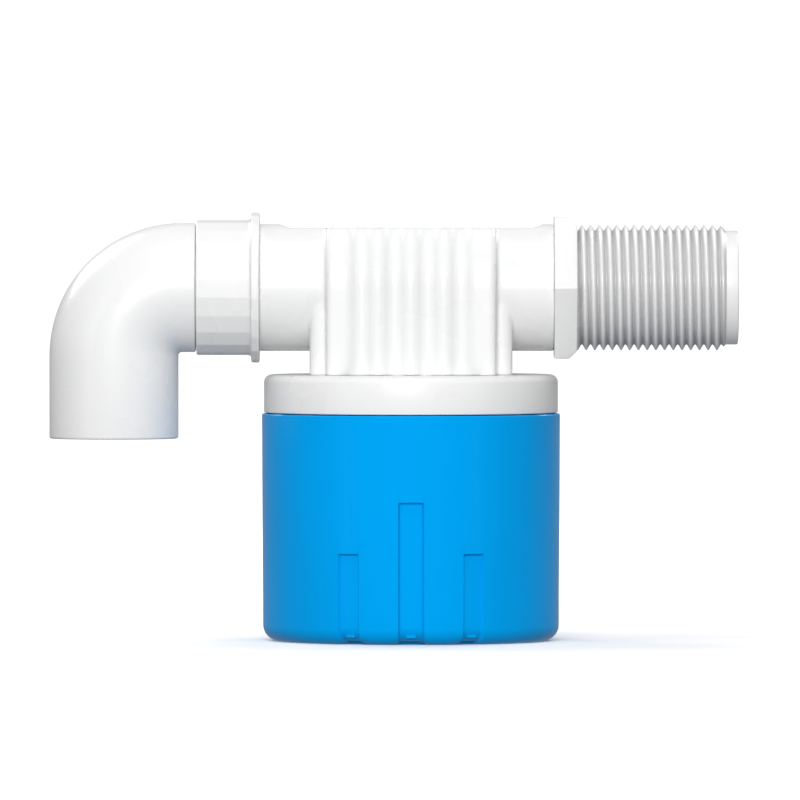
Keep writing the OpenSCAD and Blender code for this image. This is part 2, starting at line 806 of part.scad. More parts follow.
valve_body();
inlet_nipple();
nipple_o_ring();
inlet_strainer();
outlet_collar();
outlet_elbow();
elbow_o_ring();
lid();
chamber_cover();
cover_o_ring();
cover_screws();
piston();
piston_ring();
seat_seal();
seal_washer();
seal_screw();
piston_spring();
pilot_nozzle();
pilot_lever();
pilot_pad();
lever_pin();
float_shell();
float_cap();
float_pin();
cup();
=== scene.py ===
"""Looks of a side-inlet float valve: smooth moulded pieces, a true helical thread, plastics and metals.

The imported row's frame has +X out of the inlet thread, +Z up and -Y at the front. Places come from the
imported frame, and the sizes below them are what it can't say, such as the form of a thread.
"""
import json
import math

import bmesh
import bpy
from mathutils import Matrix, Vector


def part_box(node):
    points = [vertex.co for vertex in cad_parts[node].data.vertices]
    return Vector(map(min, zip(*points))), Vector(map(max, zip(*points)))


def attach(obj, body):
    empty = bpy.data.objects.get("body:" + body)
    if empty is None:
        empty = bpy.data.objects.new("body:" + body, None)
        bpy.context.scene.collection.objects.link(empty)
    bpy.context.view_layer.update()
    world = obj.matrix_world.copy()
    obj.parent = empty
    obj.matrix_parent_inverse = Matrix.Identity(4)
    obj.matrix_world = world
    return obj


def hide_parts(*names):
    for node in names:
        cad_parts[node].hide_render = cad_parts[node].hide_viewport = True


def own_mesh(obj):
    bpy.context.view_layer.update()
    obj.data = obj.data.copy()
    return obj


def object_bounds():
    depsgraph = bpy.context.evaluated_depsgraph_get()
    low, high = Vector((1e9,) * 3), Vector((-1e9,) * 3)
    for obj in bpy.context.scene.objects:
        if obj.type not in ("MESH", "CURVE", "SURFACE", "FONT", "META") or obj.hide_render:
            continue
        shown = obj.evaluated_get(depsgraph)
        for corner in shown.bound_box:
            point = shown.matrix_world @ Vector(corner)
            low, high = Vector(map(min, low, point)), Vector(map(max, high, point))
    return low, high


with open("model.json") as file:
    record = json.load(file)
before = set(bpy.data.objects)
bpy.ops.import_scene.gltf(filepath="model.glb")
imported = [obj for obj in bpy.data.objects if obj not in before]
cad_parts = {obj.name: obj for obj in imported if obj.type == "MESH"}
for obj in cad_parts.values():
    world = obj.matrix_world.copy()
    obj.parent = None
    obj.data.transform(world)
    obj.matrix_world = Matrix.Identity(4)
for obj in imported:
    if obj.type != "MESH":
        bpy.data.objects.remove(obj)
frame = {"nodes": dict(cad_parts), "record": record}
CAD_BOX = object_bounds()

MM = 0.001
TAU = 2 * math.pi


# ---- Places, from the frame: millimetres from the point where the pipe's axis meets the cup's ----

CUP_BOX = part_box("cup")
ORIGIN = Vector(((CUP_BOX[0].x + CUP_BOX[1].x) / 2 / MM, 0, 0))


def box_mm(node):
    """Lowest and highest corner of a CAD node."""
    low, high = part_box(node)
    return low / MM - ORIGIN, high / MM - ORIGIN


BODY_LOW, BODY_HIGH = box_mm("valve_body")
NIPPLE_LOW, NIPPLE_HIGH = box_mm("inlet_nipple")
COLLAR_LOW, COLLAR_HIGH = box_mm("outlet_collar")
ELBOW_LOW, ELBOW_HIGH = box_mm("outlet_elbow")
LID_LOW, LID_HIGH = box_mm("lid")
CUP_LOW, CUP_HIGH = box_mm("cup")

SHOULDER_X = -ORIGIN.x        # the row's own origin is the thread's shoulder
HEX_X0 = BODY_HIGH.x
NOSE_X1 = NIPPLE_HIGH.x
SPIGOT_X0 = NIPPLE_LOW.x - 0.2
FLANGE_X1 = COLLAR_HIGH.x
FLANGE_R = COLLAR_HIGH.z
PIPE_R = BODY_HIGH.z
BLOCK_R = BODY_HIGH.y
ELBOW_R = ELBOW_HIGH.z
BEND_X = COLLAR_LOW.x - 3.9
BEND_R = BEND_X - ELBOW_LOW.x - ELBOW_R
LID_R = LID_HIGH.x
CUP_R = CUP_HIGH.x

# ---- Sizes that the frame can't say, in millimetres ----

THREAD_R = 16.62
THREAD_PITCH = 2.309
THREAD_DEPTH = 1.478
THREAD_PHASE = 0.602          # place of the first crest over the pipe, in pitches from the shoulder
THREAD_SEGMENTS = 180
THREAD_X1 = NOSE_X1 - 3.2
NOSE_R = THREAD_R - THREAD_DEPTH - 0.05
HEX_FLATS = 37.4
HEX_CHAMFER = 2.1
BORE_R = 12.5
SPIGOT_R = 14.4
MOUTH_R, MOUTH_T = 13.2, 1.6                  # counterbore that the strainer's rim sits in
NIPPLE_RING_R, NIPPLE_RING_T = 15.7, 1.6      # recess of the nipple's seal
STRAINER_WINDOWS = 12

FLAT_TOP_Z = 15.8
MARK_H = 0.4
BLOCK_W = 44.8
RIB_PITCH = 8.72
RIB_DEPTH = 1.6
NECK_R = 19.6
POST_X, POST_Y, POST_R, POST_TOP_Z = 24, 13.6, 2.8, -3.1
CHAMBER_R = 16
CEILING_Z = -14.5
SEAT_R = 8.5
SEAT_Z = -18
PARTITION_T = 2.5
BODY_VOXEL = 0.35

COLLAR_R = 17.9
COLLAR_FLATS = 22
COLLAR_BORE_R = 15.6
FLANGE_T = 2.2
SCREW_R, SCREW_PITCH, SCREW_DEPTH = 16, 2, 0.8
TUBE_R = 15.5
ELBOW_TUBE_BORE_R = 13
ELBOW_BORE_R = 14.4
ELBOW_RING_X = FLANGE_X1 - 11.4
SNAP_X = FLANGE_X1 - 14.7                     # groove and bead that hold the elbow in the collar

GAP = 0.3
LID_PLATE_T = 3
LID_HOLE_R = NECK_R + GAP
SKIRT_R = LID_R - 2.05
LEDGE_R = SKIRT_R - 1.2
LEDGE_Z = LID_LOW.z + 2.7
VENT_R0, VENT_R1, VENT_ANGLE, VENT_STEP = 26.8, 32.8, 20, 30
LUG_ANGLE = 30
CUP_TURN = 60
CUP_Z1 = LID_LOW.z - 0.25
CUP_NECK_R = LEDGE_R - GAP
CUP_TAPER = 0.3
CUP_WALL = 2.4
CUP_CORNER_R = 4.2
FLUTE_DEPTH = 1
FLUTE_REACH = 7
FLUTE_TOP_Z = -56.3
SIDE_FLUTE_TOP_Z = -69.8
FLUTE_EDGE = (-0.25, -0.08, 0.08, 0.25)      # close rows that round a groove's edge
FLUTES = [(side + turn, 3.2 if turn == 0 else 2.8, FLUTE_TOP_Z if turn == 0 else SIDE_FLUTE_TOP_Z)
          for side in (-90, 90) for turn in (-25, 0, 25)]
RIB_R = 33.4


# ---- Mesh helpers: all take millimetres and make objects in metres ----

def make_object(name, points, faces):
    """Mesh object from points in millimetres, set into the row frame."""
    mesh = bpy.data.meshes.new(name)
    mesh.from_pydata([(Vector(p) + ORIGIN) * MM for p in points], [], faces)
    mesh.update()
    obj = bpy.data.objects.new(name, mesh)
    bpy.context.scene.collection.objects.link(obj)
    return obj


def loft(name, rings, wrap=False):
    """Joins rings of points into a closed mesh: with end caps, or with its last ring joined to its first."""
    count = len(rings[0])
    points = [p for ring in rings for p in ring]
    faces = []
    for i in range(len(rings) if wrap else len(rings) - 1):
        a, b = i * count, (i + 1) % len(rings) * count
        for j in range(count):
            k = (j + 1) % count
            faces.append((a + j, a + k, b + k, b + j))
    if not wrap:
        faces.append(tuple(range(count - 1, -1, -1)))
        faces.append(tuple(range((len(rings) - 1) * count, len(rings) * count)))
    return tidy_mesh(make_object(name, points, faces))


def tidy_mesh(obj, close=False):
    """Joins points that meet, closes open ends if asked, and makes every face look outwards."""
    bm = bmesh.new()
    bm.from_mesh(obj.data)
    bmesh.ops.remove_doubles(bm, verts=bm.verts, dist=1e-7)
    if close:
        bmesh.ops.holes_fill(bm, edges=[e for e in bm.edges if e.is_boundary])
    bmesh.ops.recalc_face_normals(bm, faces=bm.faces)
    bm.to_mesh(obj.data)
    bm.free()
    return obj


def ring_about(axis, radius, along, centre, segments):
    """Ring of points about the X or Z axis through centre."""
    angles = [TAU * i / segments for i in range(segments)]
    if axis == "X":
        return [(along, centre[1] + radius * math.cos(a), centre[2] + radius * math.sin(a)) for a in angles]
    return [(centre[0] + radius * math.cos(a), centre[1] + radius * math.sin(a), along) for a in angles]


def turned(name, outline, axis="Z", centre=(0, 0, 0), segments=160, hollow=True):
    """Turns an outline of (radius, place along the axis) points about an axis.
    A hollow piece's outline is a closed loop; a solid piece's ends are capped."""
    rings = [ring_about(axis, r, along, centre, segments) for r, along in outline]
    return loft(name, rings, wrap=hollow)


def arc_points(centre, radius, start, end, steps):
    """Points of an arc in degrees, both ends included."""
    turn = [math.radians(start + (end - start) * i / steps) for i in range(steps + 1)]
    return [(centre[0] + radius * math.cos(a), centre[1] + radius * math.sin(a)) for a in turn]


def rounded(points, radius, steps=4, closed=True, radii=None):
    """Outline with its corners rounded. radii gives a corner its own radius by its index."""
    radii = radii or {}
    out = []
    count = len(points)
    for i, corner in enumerate(points):
        r = radii.get(i, radius)
        if r <= 0 or (not closed and i in (0, count - 1)):
            out.append(tuple(corner))
            continue
        corner = Vector(corner)
        to_last = Vector(points[i - 1]) - corner
        to_next = Vector(points[(i + 1) % count]) - corner
        half = to_last.angle(to_next) / 2
        reach = min(r / math.tan(half), 0.49 * to_last.length, 0.49 * to_next.length)
        r = reach * math.tan(half)
        start = corner + to_last.normalized() * reach
        end = corner + to_next.normalized() * reach
        middle = corner + (to_last.normalized() + to_next.normalized()).normalized() * (r / math.sin(half))
        a0 = math.atan2(start.y - middle.y, start.x - middle.x)
        a1 = math.atan2(end.y - middle.y, end.x - middle.x)
        sweep = (a1 - a0 + math.pi) % TAU - math.pi
        for s in range(steps + 1):
            a = a0 + sweep * s / steps
            out.append((middle.x + r * math.cos(a), middle.y + r * math.sin(a)))
    return out


def block(name, low, high):
    """Box from its lowest to its highest corner."""
    rings = [[(low[0], low[1], z), (high[0], low[1], z), (high[0], high[1], z), (low[0], high[1], z)]
             for z in (low[2], high[2])]
    return loft(name, rings)


def cylinder(name, axis, radius, start, end, centre=(0, 0, 0), segments=96):
    """Plain solid cylinder, used to join or to cut."""
    return turned(name, [(radius, start), (radius, end)], axis, centre, segments, hollow=False)


def bake_modifiers(obj):
    """Applies an object's modifiers to its mesh."""
    depsgraph = bpy.context.evaluated_depsgraph_get()
    mesh = bpy.data.meshes.new_from_object(obj.evaluated_get(depsgraph))
    obj.modifiers.clear()
    obj.data = mesh
    return obj


def combine(obj, others, operation):
    """Boolean of obj with closed helper objects, which it uses up."""
    for other in others:
        modifier = obj.modifiers.new(operation, "BOOLEAN")
        modifier.operation = operation
        modifier.solver = "MANIFOLD"
        modifier.object = other
        bake_modifiers(obj)
        bpy.data.objects.remove(other)
    return obj


def ease_edges(obj, width, angle):
    """Bevels the edges sharper than angle."""
    bevel = obj.modifiers.new("bevel", "BEVEL")
    bevel.width = width * MM
    bevel.segments = 3
    bevel.limit_method = "ANGLE"
    bevel.angle_limit = math.radians(angle)
    return bake_modifiers(obj)


def soften(obj, voxel, rounds, keep):
    """Turns a sharp union into one moulded skin: its corners get fillets of about two voxels."""
    remesh = obj.modifiers.new("remesh", "REMESH")
    remesh.mode = "VOXEL"
    remesh.voxel_size = voxel * MM
    smooth = obj.modifiers.new("smooth", "SMOOTH")
    smooth.factor = 0.5
    smooth.iterations = rounds
    thin = obj.modifiers.new("thin", "DECIMATE")
    thin.ratio = keep
    return bake_modifiers(obj)


def shade(obj, angle=180):
    """Smooth shading, with edges sharper than angle left crisp."""
    for polygon in obj.data.polygons:
        polygon.use_smooth = True
    if angle < 180:
        obj.data.set_sharp_from_angle(angle=math.radians(angle))
    return obj


def finish_piece(obj, body, material, node):
    """Puts a finished piece on its body, with its name and material, in place of its CAD node."""
    obj.name = node + "_skin"
    obj.data.materials.clear()
    obj.data.materials.append(material)
    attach(obj, body)
    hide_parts(node)


# ---- Materials ----

class Nodes:
    """Short way to build a material's nodes."""

    def __init__(self, name):
        self.material = bpy.data.materials.new(name)
        self.material.use_nodes = True
        self.tree = self.material.node_tree
        self.shader = self.tree.nodes["Principled BSDF"]
        self.place = self.add("ShaderNodeTexCoord").outputs["Object"]

    def add(self, kind, **inputs):
        node = self.tree.nodes.new(kind)
        for name, value in inputs.items():
            node.inputs[name.replace("_", " ")].default_value = value
        return node

    def link(self, source, target):
        self.tree.links.new(source, target)

    def noise(self, scale, detail=2.0, stretch=None):
        """Noise in object space; scale is in lumps a metre, and stretch squeezes an axis."""
        node = self.add("ShaderNodeTexNoise", Scale=scale, Detail=detail)
        source = self.place
        if stretch:
            mapping = self.add("ShaderNodeMapping", Scale=stretch)
            self.link(source, mapping.inputs["Vector"])
            source = mapping.outputs["Vector"]
        self.link(source, node.inputs["Vector"])
        return node.outputs["Fac"]

    def ramp(self, source, from_low, from_high, to_low, to_high):
        """Maps one range of values to another, and holds its ends."""
        node = self.add("ShaderNodeMapRange", From_Min=from_low, From_Max=from_high, To_Min=to_low,
                        To_Max=to_high)
        self.link(source, node.inputs["Value"])
        return node.outputs["Result"]

    def spread(self, source, low, high):
        """Maps noise around its middle to a range of values."""
        return self.ramp(source, 0.3, 0.7, low, high)

    def tint(self, source, dark, light):
        """Colour between two tones by a noise."""
        ramp = self.tree.nodes.new("ShaderNodeValToRGB")
        ramp.color_ramp.elements[0].position = 0.3
        ramp.color_ramp.elements[1].position = 0.7
        ramp.color_ramp.elements[0].color = (*dark, 1)
        ramp.color_ramp.elements[1].color = (*light, 1)
        self.link(source, ramp.inputs["Fac"])
        return ramp.outputs["Color"]

    def bump(self, layers):
        """Stacks bumps of (noise, height in millimetres)."""
        last = None
        for source, height in layers:
            node = self.add("ShaderNodeBump", Strength=1.0, Distance=height * MM)
            self.link(source, node.inputs["Height"])
            if last:
                self.link(last, node.inputs["Normal"])
            last = node.outputs["Normal"]
        self.link(last, self.shader.inputs["Normal"])


def moulded_plastic(name, dark, light, rough, cloud_scale=26, gloss=0.35, gloss_tint=(1, 1, 1),
                    painted_shade=None):
    """Injection-moulded plastic: faint flow clouds, orange peel and a fine grain, with painted shade added to
    its colour when a shade function is given.
    """
    n = Nodes(name)
    colour = n.tint(n.noise(cloud_scale, 3), dark, light)
    # painted shade: the given function darkens the colour where it paints shade
    if painted_shade:
        colour = painted_shade(n, colour)
    n.link(colour, n.shader.inputs["Base Color"])
    n.link(n.spread(n.noise(60, 2), rough - 0.02, rough + 0.02), n.shader.inputs["Roughness"])
    n.shader.inputs["IOR"].default_value = 1.49
    n.shader.inputs["Specular IOR Level"].default_value = gloss
    n.shader.inputs["Specular Tint"].default_value = (*gloss_tint, 1)
    n.bump([(n.noise(260, 2), 0.001), (n.noise(1500, 3), 0.003)])
    return n.material


def paint_thread_groove_shade(n, colour):
    """Painted shade: greys the colour towards the bottom of each groove of the inlet thread, where the thread
    lies in shade.
    """
    about_axis = n.add("ShaderNodeVectorMath")
    about_axis.operation = "MULTIPLY"
    about_axis.inputs[1].default_value = (0, 1, 1)
    n.link(n.place, about_axis.inputs[0])
    radius = n.add("ShaderNodeVectorMath")
    radius.operation = "LENGTH"
    n.link(about_axis.outputs["Vector"], radius.inputs[0])
    along = n.add("ShaderNodeSeparateXYZ")
    n.link(n.place, along.inputs["Vector"])
    root_r, crest_r = THREAD_R - 0.9 * THREAD_DEPTH, THREAD_R - 0.1 * THREAD_DEPTH
    end_x = THREAD_X1 + ORIGIN.x
    depth = n.ramp(radius.outputs["Value"], root_r * MM, crest_r * MM, 1, 0)
    inside = n.ramp(along.outputs["X"], (end_x - 0.3) * MM, end_x * MM, 1, 0)
    share = n.add("ShaderNodeMath")
    share.operation = "MULTIPLY"
    n.link(depth, share.inputs[0])
    n.link(inside, share.inputs[1])
    mix = n.add("ShaderNodeMix")
    mix.data_type = "RGBA"
    colour_a, painted_shade_colour = [i for i in mix.inputs if i.type == "RGBA"]
    # grey of the painted shade at the bottom of the thread's groove
    painted_shade_colour.default_value = (0.5, 0.5, 0.505, 1)
    n.link(share.outputs["Value"], mix.inputs["Factor"])
    n.link(colour, colour_a)
    return next(o for o in mix.outputs if o.type == "RGBA")


def float_foam(name):
    """Matt float plastic with a light mould grain."""
    n = Nodes(name)
    n.link(n.tint(n.noise(40, 4), (0.68, 0.69, 0.66), (0.79, 0.8, 0.77)), n.shader.inputs["Base Color"])
    n.link(n.spread(n.noise(200, 3), 0.5, 0.66), n.shader.inputs["Roughness"])
    n.bump([(n.noise(900, 4), 0.03)])
    return n.material


def seal_rubber(name):
    """Black nitrile rubber, slightly dusty."""
    n = Nodes(name)
    colour = n.tint(n.noise(120, 4), (0.012, 0.012, 0.013), (0.035, 0.035, 0.037))
    n.link(colour, n.shader.inputs["Base Color"])
    n.link(n.spread(n.noise(300, 3), 0.55, 0.75), n.shader.inputs["Roughness"])
    n.bump([(n.noise(1800, 3), 0.01)])
    return n.material


def metal(name, dark, light, rough, stretch=None):
    """Turned or drawn metal, with fine lines along the stretched axis."""
    n = Nodes(name)
    n.shader.inputs["Metallic"].default_value = 1.0
    n.link(n.tint(n.noise(150, 4), dark, light), n.shader.inputs["Base Color"])
    n.link(n.spread(n.noise(500, 4, stretch), rough - 0.08, rough + 0.1), n.shader.inputs["Roughness"])
    n.bump([(n.noise(1400, 3, stretch), 0.006)])
    return n.material


WHITE_TONES = (0.79, 0.795, 0.795), (0.82, 0.82, 0.82)
WHITE = moulded_plastic("white_plastic", *WHITE_TONES, 0.28)
# white plastic with painted shade at the bottom of the inlet thread's groove
THREAD_WHITE_PAINTED_SHADE = moulded_plastic("thread_plastic_painted_shade", *WHITE_TONES, 0.28, painted_shade=paint_thread_groove_shade)
BLUE = moulded_plastic("blue_plastic", (0.0, 0.33, 0.8), (0.0, 0.35, 0.85), 0.22, cloud_scale=18,
                       gloss=0.13, gloss_tint=(0.1, 0.7, 1))
FLOAT = float_foam("float_plastic")
RUBBER = seal_rubber("seal_rubber")
STEEL = metal("stainless_steel", (0.56, 0.56, 0.57), (0.68, 0.68, 0.68), 0.3, (1, 1, 0.1))
BRASS = metal("jet_brass", (0.6, 0.42, 0.17), (0.74, 0.55, 0.25), 0.28, (1, 1, 0.1))
STRAINER = moulded_plastic("strainer_plastic", (0.1, 0.11, 0.12), (0.14, 0.15, 0.16), 0.45)

SLOT_MATERIALS = {
    "white_plastic": WHITE, "blue_plastic": BLUE, "float_plastic": FLOAT, "seal_rubber": RUBBER,
    "stainless_steel": STEEL, "jet_brass": BRASS, "strainer_plastic": STRAINER,
}


def dress_frame():
    """Gives each CAD node that stays its slot's material."""
    slots = {s["node"]: s["material_slot"] for s in frame["record"]["subparts"]}
    for name, obj in frame["nodes"].items():
        obj.data.materials.clear()
        obj.data.materials.append(SLOT_MATERIALS[slots[name]])


# ---- Inlet ----

def thread_pitch_outline():
    """One pitch of thread as (share of a pitch, depth): rounded crest and root, 27.5 degree flanks."""
    flank = THREAD_DEPTH * math.tan(math.radians(27.5)) / THREAD_PITCH
    half_land = (0.5 - flank) / 2
    soft, dip = 0.045, 0.07
    crest = [(-half_land, dip), (soft - half_land, 0), (half_land - soft, 0), (half_land, dip)]
    root = [(share + 0.5, THREAD_DEPTH - depth) for share, depth in crest]
    return crest + [(0.25, THREAD_DEPTH / 2)] + root + [(0.75, THREAD_DEPTH / 2)]


def threaded_tube():
    """The helical thread as a closed solid about the pipe's axis, from inside the hexagon to the nose.

    Each row of the grid follows the helix for one turn, and its last point joins the row one pitch on.
    """
    start, end = SHOULDER_X - 1, THREAD_X1
    shape = thread_pitch_outline()
    step = len(shape)
    turns = int((end - SHOULDER_X) / THREAD_PITCH) + 3
    points, faces = [], []
    for turn in range(-2, turns):
        for share, depth in shape:
            for j in range(THREAD_SEGMENTS):
                t = j / THREAD_SEGMENTS
                x = SHOULDER_X + (turn + share + t - 0.25 + THREAD_PHASE) * THREAD_PITCH
                x = min(max(x, start), end)
                run_out = min(1.0, max(0.0, (end - x) / 1.5))
                fade = min(1.0, (x - start) / 0.35)
                r = min(THREAD_R - depth * fade, NOSE_R + (THREAD_R - NOSE_R) * run_out)
                points.append((x, r * math.cos(TAU * t), r * math.sin(TAU * t)))
    rows = len(points) // THREAD_SEGMENTS
    for i in range(rows - 1 - step):
        for j in range(THREAD_SEGMENTS):
            row, k = (i, j + 1) if j + 1 < THREAD_SEGMENTS else (i + step, 0)
            faces.append((i * THREAD_SEGMENTS + j, row * THREAD_SEGMENTS + k,
                          (row + 1) * THREAD_SEGMENTS + k, (i + 1) * THREAD_SEGMENTS + j))
    return tidy_mesh(make_object("thread", points, faces), close=True)


def hexagon():
    """Hexagon with its edges eased, and the outer edges of its top and bottom flats cut off at 45 degrees."""
    corner_r, half = HEX_FLATS / math.sqrt(3), HEX_FLATS / 2
    prism = loft("hexagon", [[(x, corner_r * math.cos(TAU * i / 6), corner_r * math.sin(TAU * i / 6))
                              for i in range(6)] for x in (HEX_X0, SHOULDER_X)])
    side = [(HEX_X0 - 1, half + 1), (SHOULDER_X - HEX_CHAMFER - 1, half + 1),
            (SHOULDER_X + 1, half - HEX_CHAMFER - 1)]
    outline = side + [(x, -z) for x, z in reversed(side)]
    combine(prism, [loft("limit", [[(x, y, z) for x, z in outline] for y in (-40, 40)])], "INTERSECT")
    return ease_edges(prism, 0.3, 20)


def build_nipple():
    obj = hexagon()
    nose = turned("nose", rounded([(NOSE_R - 1, NOSE_X1 - 5), (NOSE_R, NOSE_X1 - 5), (NOSE_R, NOSE_X1),
                                   (NOSE_R - 1.4, NOSE_X1)], 0.5, closed=False), "X", hollow=False)
    spigot = cylinder("spigot", "X", SPIGOT_R, SPIGOT_X0 + 0.2, HEX_X0 + 1)
    combine(obj, [threaded_tube(), nose, spigot], "UNION")
    mouth_x0 = NOSE_X1 - MOUTH_T
    mouth = turned("mouth", [(BORE_R, SPIGOT_X0 - 1), (BORE_R, mouth_x0), (MOUTH_R, mouth_x0),
                             (MOUTH_R, NOSE_X1 - 0.3), (MOUTH_R + 1.3, NOSE_X1 + 1)], "X", hollow=False)
    combine(obj, [mouth], "DIFFERENCE")
    # the nipple's white carries painted shade down in its thread
    finish_piece(shade(obj, 32), "valve", THREAD_WHITE_PAINTED_SHADE, "inlet_nipple")


def build_strainer():
    """Basket with long windows, hung by its rim in the nipple's mouth."""
    x1, x0 = NOSE_X1 - 0.1, NOSE_X1 - 24.1
    basket_r, wall = BORE_R - 0.8, 0.9
    outline = [(0, x0), (basket_r, x0), (basket_r, x1 - 1.4), (13.1, x1 - 1.4), (13.1, x1),
               (basket_r - wall, x1), (basket_r - wall, x0 + 1.5), (0, x0 + 1.5)]
    obj = turned("strainer", rounded(outline, 0.3, closed=False, steps=3), "X", hollow=False)
    windows = []
    for i in range(STRAINER_WINDOWS):
        window = block("window", (x0 + 3, -1.7, basket_r / 2), (x1 - 3, 1.7, BORE_R + 1))
        window.data.transform(Matrix.Rotation(TAU * i / STRAINER_WINDOWS, 4, "X"))
        windows.append(window)
    combine(obj, windows, "DIFFERENCE")
    finish_piece(shade(obj, 35), "valve", STRAINER, "inlet_strainer")


# ---- Body ----

def block_edge():
    """Front outline of the ribbed block, as (x, distance from the pipe's axis), left to right."""
    half, corner = BLOCK_W / 2, 1.6
    wave_r = ((RIB_PITCH / 4) ** 2 + (RIB_DEPTH / 2) ** 2) / RIB_DEPTH
    swing = math.degrees(math.asin(RIB_PITCH / 4 / wave_r))
    edge = arc_points((-half + corner, BLOCK_R - corner), corner, 180, 90, 6)
    for i in range(-2, 3):
        rib = (i * RIB_PITCH, BLOCK_R - wave_r)
        if i > -2:
            edge += arc_points(rib, wave_r, 90 + swing, 90, 8)[:-1]
        if i < 2:
            edge += arc_points(rib, wave_r, 90, 90 - swing, 8)[:-1]
            groove = ((i + 0.5) * RIB_PITCH, BLOCK_R - RIB_DEPTH + wave_r)
            edge += arc_points(groove, wave_r, 270 - swing, 270 + swing, 14)[:-1]
    return edge + arc_points((half - corner, BLOCK_R - corner), corner, 90, 0, 6)


def ribbed_block():
    """Arch over the pipe with straight sides down to the lid."""
    rings = []
    for x, r in block_edge():
        arch = [(x, r * math.cos(a), r * math.sin(a)) for a in (math.pi * i / 48 for i in range(49))]
        rings.append(arch + [(x, -r, LID_HIGH.z), (x, r, LID_HIGH.z)])
    return loft("block", rings)


def top_cutter():
    """Wedge-ended block that planes the top flat, with a slope at each end."""
    left, right, slope, high = FLANGE_X1 + 5.5, HEX_X0 - 3.1, 2.1, 30
    rise = PIPE_R - FLAT_TOP_Z
    outline = [(left - slope, FLAT_TOP_Z + 2 * rise), (left + slope, FLAT_TOP_Z),
               (right - slope, FLAT_TOP_Z), (right + slope, FLAT_TOP_Z + 2 * rise), (right + slope, high),
               (left - slope, high)]
    return loft("top_cutter", [[(x, y, z) for x, z in outline] for y in (-40, 40)])


def flow_marks():
    """Raised arrow that points down the flow, with two plain pads on each side."""
    arrow = [(-9, 0), (-3.5, 4), (-3.5, 1.4), (9, 1.4), (9, -1.4), (-3.5, -1.4), (-3.5, -4)]
    outlines = [arrow]
    for side in (-1, 1):
        for middle, half in ((side * 19.4, 1.4), (side * 15.1, 1.3)):
            left, right = middle - half, middle + half
            outlines.append([(left, -4), (right, -4), (right, 4), (left, 4)])
    marks = []
    for outline in outlines:
        heights = (FLAT_TOP_Z - 0.3, FLAT_TOP_Z + MARK_H)
        mark = loft("mark", [[(x, y, z) for x, y in rounded(outline, 0.3, 2)] for z in heights])
        marks.append(ease_edges(mark, 0.15, 60))
    return marks


def outlet_screw():
    """Male screw that the collar turns onto."""
    flank = SCREW_DEPTH * math.tan(math.radians(30))
    land = SCREW_PITCH / 2 - flank
    outline = [(0, BODY_LOW.x), (SCREW_R - 0.4, BODY_LOW.x), (SCREW_R, BODY_LOW.x + 0.4)]
    for i in range(3):
        x = BODY_LOW.x + 0.8 + i * SCREW_PITCH
        outline += [(SCREW_R, x), (SCREW_R - SCREW_DEPTH, x + flank),
                    (SCREW_R - SCREW_DEPTH, x + flank + land), (SCREW_R, x + 2 * flank + land)]
    outline += [(SCREW_R, FLANGE_X1 + 1), (0, FLANGE_X1 + 1)]
    return turned("outlet_screw", outline, "X", hollow=False)


def at_posts(name, radius, z0, z1):
    """One upright cylinder at each of the four screw posts."""
    return [cylinder(name, "Z", radius, z0, z1, (sx * POST_X, sy * POST_Y, 0), 48)
            for sx in (-1, 1) for sy in (-1, 1)]


def pipe_coves():
    """Fillets where the pipe runs into the block's two ends."""
    cove = 1.2
    rings = []
    for side in (-1, 1):
        face = side * BLOCK_W / 2
        outline = [(PIPE_R - 1, face - side), (PIPE_R - 1, face + side * cove)]
        outline += [(PIPE_R + cove - cove * math.sin(a), face + side * (cove - cove * math.cos(a)))
                    for a in (math.pi / 2 * i / 6 for i in range(6, -1, -1))]
        outline.append((PIPE_R + cove, face - side))
        rings.append(turned("cove", outline, "X"))
    return rings


def body_outside():
    obj = cylinder("body", "X", PIPE_R, FLANGE_X1, HEX_X0, segments=200)
    neck = cylinder("neck", "Z", NECK_R, BODY_LOW.z, LID_HIGH.z + 1, segments=160)
    combine(obj, [ribbed_block(), neck], "UNION")
    combine(obj, pipe_coves(), "UNION")
    combine(obj, at_posts("post", POST_R, LID_HIGH.z, POST_TOP_Z), "UNION")
    combine(obj, [top_cutter()], "DIFFERENCE")
    return soften(obj, BODY_VOXEL, 4, 0.5)


def inlet_port():
    """Opening from the inlet's bore down into the ring of the chamber around the seat."""
    x0 = SEAT_R + PARTITION_T
    port = cylinder("port", "Z", CHAMBER_R - 0.5, CEILING_Z - 1, 0)
    return combine(port, [block("side", (x0, -CHAMBER_R, -30), (30, CHAMBER_R, 0))], "INTERSECT")


def build_body():
    obj = body_outside()
    combine(obj, [cylinder("chamber", "Z", CHAMBER_R, BODY_LOW.z - 1, CEILING_Z)], "DIFFERENCE")
    seat_wall = cylinder("seat_wall", "Z", SEAT_R + 2, SEAT_Z, CEILING_Z + 1)
    combine(obj, [seat_wall, outlet_screw(), *flow_marks()], "UNION")
    bores = [
        cylinder("seat", "Z", SEAT_R, SEAT_Z - 1, 0),
        cylinder("outlet_bore", "X", BORE_R, BODY_LOW.x - 1, SEAT_R),
        cylinder("inlet_bore", "X", BORE_R, SEAT_R + PARTITION_T, HEX_X0),
        cylinder("counterbore", "X", SPIGOT_R, SPIGOT_X0, HEX_X0 + 1),
        cylinder("ring_recess", "X", NIPPLE_RING_R, HEX_X0 - NIPPLE_RING_T, HEX_X0 + 1),
        inlet_port(),
    ]
    combine(obj, bores + at_posts("screw_hole", 1.5, LID_HIGH.z - 1, -8.5), "DIFFERENCE")
    finish_piece(shade(obj, 40), "valve", WHITE, "valve_body")


# ---- Outlet ----

def collar_ring(x, r):
    """Rounded many-sided ring, with a corner at the top."""
    corners = [(r * math.cos(TAU * i / COLLAR_FLATS), r * math.sin(TAU * i / COLLAR_FLATS))
               for i in range(COLLAR_FLATS)]
    return [(x, y, z) for z, y in rounded(corners, 2.0, 3)]


